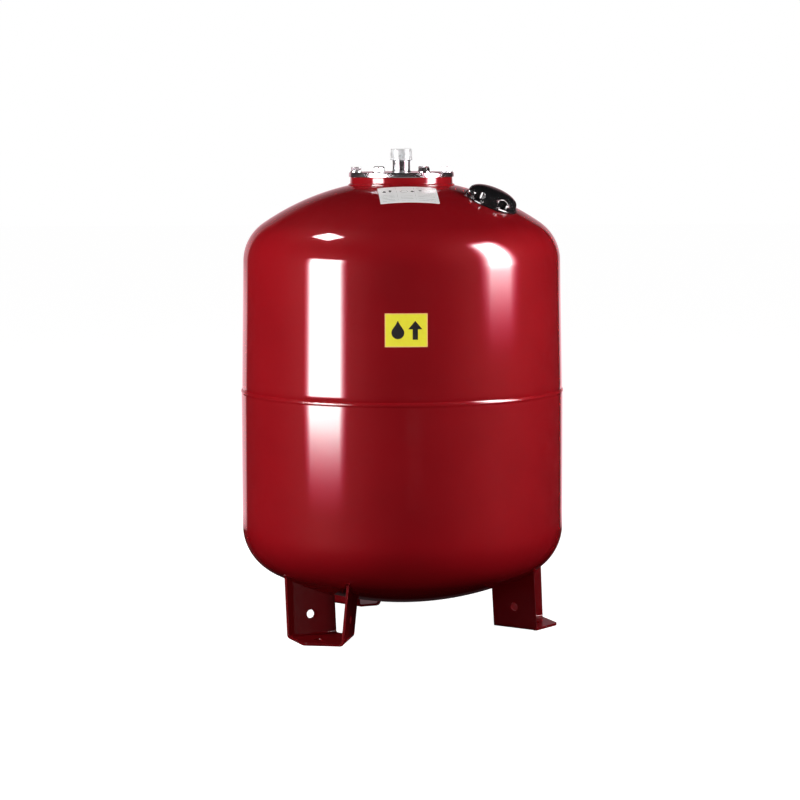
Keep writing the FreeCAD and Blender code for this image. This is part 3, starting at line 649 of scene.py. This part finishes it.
def nipple_weld():
    """Hollow fillet round the nipple's foot, with its ripples."""
    leg = 2.2 * MM
    sunk = 0.05 * MM
    ripples = 44
    profile = [(SHANK_R - sunk, FLANGE_TOP_Z - sunk),
               (SHANK_R + leg, FLANGE_TOP_Z - sunk),
               (SHANK_R + 0.8 * leg, FLANGE_TOP_Z + 0.3 * leg),
               (SHANK_R + 0.4 * leg, FLANGE_TOP_Z + 0.65 * leg),
               (SHANK_R - sunk, FLANGE_TOP_Z + 0.95 * leg)]

    def ripple(angle, r, z):
        if r < SHANK_R or z < FLANGE_TOP_Z:
            return 0.0
        return 0.12 * MM * (abs(math.sin(ripples / 2 * angle)) - 1)

    piece = lathe("nipple_weld_bead", profile, ZINC, segments=6 * ripples, shift=ripple)
    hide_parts("nipple_weld")


def thread_cap():
    """Thin push-on cap with a thicker lip and shallow upright grip ribs."""
    low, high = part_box("thread_cap")
    wall_r = 14.8 * MM
    lip_r = 15.3 * MM
    bore_r = 13.4 * MM
    roof_z = high[2] - 1.2 * MM
    rib_count = 24
    rib_depth = 0.22 * MM
    corners = [(bore_r, low[2], 0.2 * MM), (lip_r, low[2], 0.4 * MM),
               (lip_r, low[2] + 1.8 * MM, 0.5 * MM), (wall_r, low[2] + 2.6 * MM, 0.4 * MM),
               (wall_r, high[2], 1.2 * MM), (0, high[2], 0)]
    inside = [(0, roof_z, 0), (bore_r, roof_z, 0.8 * MM)]
    profile = softened(corners + inside)

    def ribs(angle, r, z):
        if r < 14.4 * MM or z < low[2] + 2.8 * MM or z > high[2] - 1.4 * MM:
            return 0.0
        return -rib_depth * (0.5 - 0.5 * math.cos(rib_count * angle)) ** 2

    piece = lathe("thread_cap_shell", profile, FROSTED, "thread_cap", 192, False, ribs)
    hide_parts("thread_cap")


# Gas valve guard ----------------------------------------------------------

VALVE_R = 139 * MM
VALVE_AZIMUTH = -28.0
GUARD_GAP = 0.3 * MM
FLUTE_COUNT = 6
FLUTE_R = 8.5 * MM
FLUTE_CIRCLE_R = 37.5 * MM
FLUTE_PHASE = math.radians(-37)


def on_crown(radius, azimuth):
    """Frame on the upper crown: +Z along the normal, +X downhill."""
    tilt = math.asin(radius / UPPER_CROWN)
    turn = Matrix.Rotation(math.radians(azimuth), 4, "Z") @ Matrix.Rotation(tilt, 4, "Y")
    return Matrix.Translation((0, 0, UPPER.crown_z)) @ turn @ Matrix.Translation((0, 0, UPPER_CROWN))


def crown_drop(r, gap=0.0):
    return math.sqrt((UPPER_CROWN + gap) ** 2 - r ** 2) - UPPER_CROWN


def soft_min(first, second, blend):
    """The smaller of two lengths, with a rounded join."""
    h = max(0.0, min(1.0, 0.5 + 0.5 * (second - first) / blend))
    return second + (first - second) * h - blend * h * (1 - h)


def flute_limit(angle):
    """Radius of the flute's wall in a direction, or None where there is no flute."""
    step = 2 * math.pi / FLUTE_COUNT
    side = (angle - FLUTE_PHASE + step / 2) % step - step / 2
    reach = FLUTE_CIRCLE_R * math.sin(side)
    if abs(reach) >= FLUTE_R:
        return None
    return FLUTE_CIRCLE_R * math.cos(side) - math.sqrt(FLUTE_R ** 2 - reach ** 2)


def guard_shell():
    """Domed cover with a foot flange, six finger flutes and a hollow inside."""
    rim_r = 38 * MM
    side_r = 36 * MM
    seat_r = 33.6 * MM
    top_z = 18.2 * MM
    rim_low = crown_drop(rim_r, GUARD_GAP)
    side_z = rim_low + 2.6 * MM
    flange = softened([(seat_r, crown_drop(seat_r, GUARD_GAP), 0.2 * MM),
                       (rim_r, rim_low, 0.4 * MM), (rim_r, side_z, 0.9 * MM),
                       (side_r + 0.6 * MM, side_z + 0.2 * MM, 0.5 * MM)])
    flange = flange[1:]
    steps = 40
    power = 0.78               # below 1, so the dome's shoulder is fuller than an ellipse
    dome = []
    for step in range(steps + 1):
        t = math.pi / 2 * step / steps
        dome.append((side_r * math.cos(t) ** power, side_z + (top_z - side_z) * math.sin(t) ** power))
    dome[-1] = (0, top_z)
    ledge_z = side_z + 0.9 * MM

    def flutes(angle, r, z):
        limit = flute_limit(angle)
        if limit is None or z < side_z + 0.05 * MM or r < 20 * MM:
            return 0.0
        rise = min(1.0, (z - side_z) / (ledge_z - side_z))
        cut = soft_min(r, limit, 1.2 * MM) - r
        return min(0.0, cut) * rise * rise * (3 - 2 * rise)

    place = on_crown(VALVE_R, VALVE_AZIMUTH)
    mesh = lathe_mesh(flange + dome, 360, False, flutes)
    mesh.transform(place)
    piece = finish_mesh("valve_guard_cover", mesh, BLACK_COVER, "valve_guard", 50)
    hollow = piece.modifiers.new("wall", "SOLIDIFY")
    hollow.thickness = 1.6 * MM
    hollow.offset = -1
    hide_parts("valve_guard")
    skirt_in = 21.2 * MM
    skirt_out = 22.7 * MM
    skirt_low = 2.3 * MM
    skirt_high = 15.5 * MM
    skirt = softened([(skirt_in, skirt_low, 0.2 * MM), (skirt_out, skirt_low, 0.2 * MM),
                      (skirt_out, skirt_high, 0), (skirt_in, skirt_high, 0)])
    collar = lathe("valve_guard_collar", skirt, BLACK_COVER, "valve_guard", 128, at=place)


# Foot welds ---------------------------------------------------------------

FOOT_AZIMUTHS = {"right": -8.0, "rear": 112.0, "front_left": 232.0}
WEB_INNER = Vector((131.5 * MM, 17.5 * MM))
WEB_OUTER = Vector((194.5 * MM, 49.5 * MM))
FOOT_T = 3.5 * MM
FOOT_SPLAY = 0.1
BEAD_R = 1.7 * MM


def lower_height(r):
    """Height of the lower end's outside at a radius."""
    if r > LOWER.knuckle_r + LOWER.knuckle * math.cos(LOWER.meet):
        return LOWER.knuckle_z - math.sqrt(LOWER.knuckle ** 2 - (r - LOWER.knuckle_r) ** 2)
    return LOWER.height(r)


def tube_mesh(path, radius, sides=10, ripple=0.0):
    """Round bead along a path of points, closed at both ends, with weld ripples."""
    mesh = bmesh.new()
    rings = []
    for index, point in enumerate(path):
        ahead = path[min(index + 1, len(path) - 1)] - path[max(index - 1, 0)]
        along = ahead.normalized()
        side = along.cross(Vector((0, 0, 1))).normalized()
        up = side.cross(along)
        swell = radius * (1 + ripple * math.sin(index * 2.1) * (0.7 + 0.3 * noise.noise(point * 90)))
        if index in (0, len(path) - 1):
            swell *= 0.35
        rings.append([mesh.verts.new(point + swell * (side * math.cos(2 * math.pi * k / sides)
                                                     + up * math.sin(2 * math.pi * k / sides)))
                      for k in range(sides)])
    for low, high in zip(rings, rings[1:]):
        for k in range(sides):
            mesh.faces.new((low[k], low[(k + 1) % sides], high[(k + 1) % sides], high[k]))
    mesh.faces.new(rings[0][::-1])
    mesh.faces.new(rings[-1])
    return mesh


def foot_welds():
    """A bead along each web's outer and inner face, where the web meets the lower end."""
    along = (WEB_OUTER - WEB_INNER).normalized()
    across = Vector((along.y, -along.x))
    length = (WEB_OUTER - WEB_INNER).length
    steps = 90
    sunk = 0.2 * MM
    for side, azimuth in FOOT_AZIMUTHS.items():
        turn = Matrix.Rotation(math.radians(azimuth), 4, "Z")
        for hand in (1, -1):
            for face, inward in (("outer", -sunk), ("inner", FOOT_T + sunk)):
                path = []
                for step in range(steps + 1):
                    t = 1.5 * MM + (length - 0.5 * MM) * step / steps
                    flat = WEB_INNER + along * t + across * inward
                    for _ in range(4):
                        z = lower_height(flat.length) - sunk
                        flat = WEB_INNER + along * t + across * (inward - FOOT_SPLAY * z)
                    path.append(Vector((flat.x, hand * flat.y, z)))
                mesh = tube_mesh(path, BEAD_R, ripple=0.09)
                mesh.transform(turn)
                label = "left" if hand > 0 else "right"
                piece = finish_mesh("foot_weld_%s_%s_%s" % (side, label, face), mesh, ENAMEL_FEET_WORN_SHADED)
                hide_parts("foot_weld_" + side)


# Labels -------------------------------------------------------------------

LABEL_T = 0.2 * MM
PRINT_T = 0.03 * MM


def on_wall(u, v, lift):
    """Point on the front of the upper wall: u to the right and v up, from the label's middle."""
    low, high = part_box("rating_label")
    z = (low[2] + high[2]) / 2 + v
    x = (low[0] + high[0]) / 2 + u
    radius = UPPER_SEAM_R - (z - SEAM_Z - JOGGLE_END) * math.tan(UPPER_DRAFT) + lift
    return Vector((x, -math.sqrt(radius ** 2 - x ** 2), z))


DATA_FRAME = on_crown(107 * MM, -85.0)


def on_shoulder(u, v, lift):
    """Point on the crown in front of the neck: u to the right and v uphill."""
    reach = UPPER_CROWN + lift
    x = -v
    y = u
    return DATA_FRAME @ Vector((x, y, math.sqrt(reach ** 2 - x ** 2 - y ** 2) - UPPER_CROWN))


def film(name, surface, loops, finish, low, high, grid=2.5 * MM):
    """Thin curved film: flat outlines cut to a grid, then laid on the surface."""
    mesh = bmesh.new()
    for loop in loops:
        mesh.faces.new([mesh.verts.new((u, v, 0)) for u, v in loop])
    us = [vert.co.x for vert in mesh.verts]
    vs = [vert.co.y for vert in mesh.verts]
    for axis, values in (((1, 0, 0), us), ((0, 1, 0), vs)):
        place = math.ceil(min(values) / grid) * grid
        while place < max(values):
            everything = mesh.verts[:] + mesh.edges[:] + mesh.faces[:]
            bmesh.ops.bisect_plane(mesh, geom=everything, plane_no=axis,
                                   plane_co=tuple(place * part for part in axis), dist=TINY)
            place += grid
    bmesh.ops.solidify(mesh, geom=mesh.faces[:], thickness=high - low)
    floor_z = min(vert.co.z for vert in mesh.verts)
    for vert in mesh.verts:
        vert.co = surface(vert.co.x, vert.co.y, low + vert.co.z - floor_z)
    return finish_mesh(name, mesh, finish, sharp=60)


def rectangle(u, v, width, height, corner=0.0, steps=5):
    """Rounded rectangle about a centre, anticlockwise."""
    if not corner:
        return [(u - width / 2, v - height / 2), (u + width / 2, v - height / 2),
                (u + width / 2, v + height / 2), (u - width / 2, v + height / 2)]
    points = []
    for quarter, (su, sv) in enumerate(((1, 1), (-1, 1), (-1, -1), (1, -1))):
        centre = (u + su * (width / 2 - corner), v + sv * (height / 2 - corner))
        for step in range(steps + 1):
            angle = math.pi / 2 * (quarter + step / steps)
            points.append((centre[0] + corner * math.cos(angle), centre[1] + corner * math.sin(angle)))
    return points


def ring_loops(u, v, outer, inner, parts=24):
    """A flat ring as a chain of small quads."""
    loops = []
    for part in range(parts):
        a = 2 * math.pi * part / parts
        b = 2 * math.pi * (part + 1) / parts
        loops.append([(u + r * math.cos(t), v + r * math.sin(t))
                      for r, t in ((inner, a), (outer, a), (outer, b), (inner, b))])
    return loops


def droplet(u, v, size, steps=28):
    """Water drop: a circle drawn out to a point at the top."""
    points = []
    for step in range(steps):
        angle = 2 * math.pi * step / steps
        stretch = 1 + 0.9 * max(0.0, math.sin(angle)) ** 3
        narrow = 1 - 0.85 * max(0.0, math.sin(angle)) ** 4
        points.append((u + size * math.cos(angle) * narrow, v + size * math.sin(angle) * stretch))
    return points


def arrow_up(u, v, size):
    return [(u - 0.28 * size, v - size), (u + 0.28 * size, v - size), (u + 0.28 * size, v + 0.1 * size),
            (u + 0.75 * size, v + 0.1 * size), (u, v + size), (u - 0.75 * size, v + 0.1 * size),
            (u - 0.28 * size, v + 0.1 * size)]


def label_set(name, surface, width, height, base, inks, node):
    """A label's film and what is printed on it."""
    corner = 1.2 * MM
    back = film(name + "_film", surface, [rectangle(0, 0, width, height, corner)], base,
                0.0, LABEL_T)
    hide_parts(node)
    for key, finish, loops in inks:
        mark = film(name + "_" + key, surface, loops, finish, LABEL_T, LABEL_T + PRINT_T, 4 * MM)


def rating_label():
    """Yellow label with a generic drop and arrow, and a paler edge."""
    low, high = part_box("rating_label")
    width = 56.5 * MM
    height = high[2] - low[2]
    edge = 1.1 * MM
    border = [rectangle(0, side * (height - edge) / 2, width, edge) for side in (1, -1)]
    border += [rectangle(side * (width - edge) / 2, 0, edge, height - 2 * edge) for side in (1, -1)]
    marks = [droplet(-11 * MM, -3.2 * MM, 8.5 * MM), arrow_up(12 * MM, 0, 12.5 * MM)]
    label_set("rating_label", on_wall, width, height, YELLOW_FILM,
              (("edge", YELLOW_EDGE, border), ("marks", BLACK_INK, marks)),
              "rating_label")


def data_label():
    """White label in three columns, with small generic symbols and ruled bars."""
    width = 80 * MM
    height = 62 * MM
    bar = 0.8 * MM
    columns = ((-28, 18, (-4, -9, -14, -19, -24)), (-3, 17, (-9, -14, -19, -24)),
               (24, 24, (24, 19, 4, -1, -6, -11, -19, -24)))
    rules = [rectangle(u * MM, 2 * MM, 0.35 * MM, 50 * MM) for u in (-15.5, 9)]
    for u, across, lines in columns:
        rules += [rectangle(u * MM, v * MM, across * MM, bar) for v in lines]
    marks = [droplet(-32 * MM, 10 * MM, 2.6 * MM), arrow_up(-24 * MM, 12 * MM, 4.5 * MM),
             droplet(6 * MM, 8 * MM, 2.4 * MM), rectangle(17 * MM, 12 * MM, 4 * MM, 4 * MM),
             rectangle(27 * MM, 12 * MM, 7 * MM, 1.4 * MM)]
    ring = ring_loops(-5 * MM, 9 * MM, 5.2 * MM, 4.3 * MM)
    label_set("data_label", on_shoulder, width, height, WHITE_FILM,
              (("rules", GREY_INK, rules), ("marks", BLACK_INK, marks), ("ring", GREY_INK, ring)),
              "data_label")


# Carried-over CAD nodes ---------------------------------------------------

FOOT_EDGE = 0.7 * MM
SMALL_EDGE = 0.12 * MM


def finish_nodes():
    """Gives each kept CAD node its finish, welded and with softened edges."""
    for name, finish in NODE_FINISHES.items():
        node = frame["nodes"][name]
        node.data.materials.clear()
        node.data.materials.append(finish)
        weld = node.modifiers.new("weld", "WELD")
        weld.merge_threshold = 1e-6
        bevel = node.modifiers.new("edges", "BEVEL")
        bevel.width = FOOT_EDGE if name.startswith("foot") else SMALL_EDGE
        bevel.segments = 2
        bevel.limit_method = "ANGLE"
        bevel.angle_limit = math.radians(40)
        bevel.harden_normals = True


# Studio -------------------------------------------------------------------

WHITE = rgb(1, 1, 1)
GLOW_EDGE = rgb(1.0, 0.05, 0.2)
BACKDROP_PINK = rgb(1.0, 0.6, 0.66)
MIDDLE = 0.33               # height that the lamps aim at


def floor():
    """Pale floor, kept out of reflections and of diffuse light."""
    bpy.ops.mesh.primitive_plane_add(size=30, location=(0, 0, 0))
    plane = bpy.context.object
    plane.name = "studio_floor"
    made, nodes, shader = material("pale_floor", Roughness=0.9, Specular_IOR_Level=0.0,
                                   Emission_Color=(1, 1, 1, 1), Emission_Strength=0.99)
    nodes.link(nodes.mix(nodes.noise(2.0), rgb(0.46, 0.46, 0.46), rgb(0.5, 0.5, 0.5)),
               shader.inputs["Base Color"])
    plane.data.materials.append(made)
    plane.visible_glossy = False
    plane.visible_diffuse = False


def softbox(name, azimuth, distance, low, high, width, strength, lean=0.0,
            fades=(0.2, 0.2, 0.2), pure=0.5):
    """Glowing panel facing the vessel, hidden from the camera and from diffuse light.  It
    fades over the shares of its width and height in fades (sides, bottom, top), and its glow
    turns to red below the share called pure."""
    made = bpy.data.materials.new(name + "_glow")
    made.use_nodes = True
    nodes = Nodes(made.node_tree)
    made.node_tree.nodes.remove(made.node_tree.nodes["Principled BSDF"])
    split = nodes.add("ShaderNodeSeparateXYZ")
    nodes.link(nodes.coords(), split.inputs["Vector"])
    height = high - low
    sides = nodes.maths("ABSOLUTE", split.outputs["X"], 0)
    across = nodes.spread(sides, width / 2, width * (0.5 - fades[0]), 0.0, 1.0)
    rise = nodes.spread(split.outputs["Z"], -height / 2, height * (fades[1] - 0.5), 0.0, 1.0)
    fall = nodes.spread(split.outputs["Z"], height / 2, height * (0.5 - fades[2]), 0.0, 1.0)
    shape = nodes.maths("MULTIPLY", across, nodes.maths("MULTIPLY", rise, fall))
    shape = nodes.maths("POWER", shape, 2.0)
    glow = nodes.add("ShaderNodeEmission")
    nodes.link(nodes.ramp(shape, ((0.0, GLOW_EDGE), (pure, WHITE))), glow.inputs["Color"])
    nodes.link(nodes.maths("MULTIPLY", shape, strength), glow.inputs["Strength"])
    nodes.link(glow.outputs[0], made.node_tree.nodes["Material Output"].inputs["Surface"])
    mesh = bmesh.new()
    corners = ((-1, -1), (1, -1), (1, 1), (-1, 1))
    mesh.faces.new([mesh.verts.new((x * width / 2, 0, z * height / 2)) for x, z in corners])
    data = bpy.data.meshes.new(name)
    mesh.to_mesh(data)
    mesh.free()
    data.materials.append(made)
    panel = bpy.data.objects.new(name, data)
    bpy.context.scene.collection.objects.link(panel)
    turn = Matrix.Rotation(math.radians(azimuth), 4, "Z")
    panel.matrix_world = (turn @ Matrix.Translation((0, -distance, (low + high) / 2))
                          @ Matrix.Rotation(math.radians(-lean), 4, "X"))
    panel.visible_camera = False
    panel.visible_diffuse = False


def lamp(name, place, size, energy):
    """Soft light that isn't mirrored in the enamel, aimed at the middle of the vessel."""
    light = bpy.data.lights.new(name, "AREA")
    light.size = size
    light.energy = energy
    made = bpy.data.objects.new(name, light)
    made.location = place
    made.rotation_euler = (Vector(place) - Vector((0, 0, MIDDLE))).to_track_quat("Z", "Y").to_euler()
    made.visible_glossy = False
    bpy.context.scene.collection.objects.link(made)


def world():
    """White for the camera.  In reflections, a pale backdrop straight behind the vessel
    that is narrower on the right, fades upwards and ends below; the rest is nearly black.
    All limits are parts of a direction of length 1: X right, Y away from the camera, Z up."""
    made = bpy.data.worlds.new("studio")
    made.use_nodes = True
    bpy.context.scene.world = made
    nodes = Nodes(made.node_tree)
    background = made.node_tree.nodes["Background"]
    where = nodes.add("ShaderNodeTexCoord")
    split = nodes.add("ShaderNodeSeparateXYZ")
    nodes.link(where.outputs["Generated"], split.inputs["Vector"])
    skew = nodes.maths("MULTIPLY", split.outputs["X"], -0.078)
    behind = nodes.spread(nodes.maths("ADD", split.outputs["Y"], skew), 0.89, 0.918, 0.03, 1.3)
    floor_cut = nodes.spread(split.outputs["Z"], -0.160, -0.145, 0.02, 1.0)
    horizon = nodes.spread(split.outputs["Z"], -0.062, -0.045, 1.0, 0.6)
    sky_fade = nodes.spread(split.outputs["Z"], 0.05, 0.42, 1.0, 0.03)
    glow = behind
    for share in (floor_cut, horizon, sky_fade):
        glow = nodes.maths("MULTIPLY", glow, share)
    seen = nodes.add("ShaderNodeLightPath").outputs["Is Camera Ray"]
    nodes.link(nodes.mix(seen, BACKDROP_PINK, WHITE), background.inputs["Color"])
    nodes.link(nodes.maths("MAXIMUM", glow, seen), background.inputs["Strength"])


CAMERA_DISTANCE = 3.7
CAMERA_HEIGHT = 0.7
CAMERA_PITCH = 5.93         # degrees below level
CAMERA_ROLL = -0.2
CAMERA_LENS = 119.15
CAMERA_SIDE = -0.003


def camera():
    data = bpy.data.cameras.new("camera")
    data.lens = CAMERA_LENS
    data.sensor_width = 36
    eye = bpy.data.objects.new("camera", data)
    bpy.context.scene.collection.objects.link(eye)
    look = Matrix.Rotation(math.radians(90 - CAMERA_PITCH), 4, "X")
    roll = Matrix.Rotation(math.radians(CAMERA_ROLL), 4, "Z")
    eye.matrix_world = Matrix.Translation((CAMERA_SIDE, -CAMERA_DISTANCE, CAMERA_HEIGHT)) @ look @ roll
    bpy.context.scene.camera = eye


def studio():
    bpy.context.scene.view_settings.view_transform = "Standard"
    world()
    floor()
    softbox("softbox_left", azimuth=-53.3, distance=1.8, low=-0.08, high=1.05, width=1.15,
            strength=24, fades=(0.2, 0.2, 0.1), pure=0.75)
    softbox("softbox_left_high", azimuth=-84, distance=0.9, low=1.60, high=2.02, width=0.6,
            strength=34, lean=58)
    softbox("softbox_right", azimuth=71, distance=1.8, low=0.27, high=2.6, width=1.25,
            strength=30, fades=(0.3, 0.11, 0.25), pure=0.8)
    lamp("lamp_left", place=(-1.75, -0.6, 0.85), size=0.9, energy=46)
    lamp("lamp_right", place=(1.7, -0.5, 0.85), size=0.9, energy=37)
    lamp("lamp_front", place=(0.1, -2.2, 0.9), size=1.2, energy=2.5)
    lamp("lamp_low", place=(0.2, -1.4, 0.16), size=0.26, energy=4)
    lamp("lamp_top", place=(0.1, -0.4, 2.4), size=1.6, energy=3)
    camera()


upper_shell()
lower_shell()
girth_weld()
neck_ring()
counterflange()
flange_fasteners()
connection_nipple()
nipple_weld()
thread_cap()
guard_shell()
foot_welds()
rating_label()
data_label()
finish_nodes()
studio()
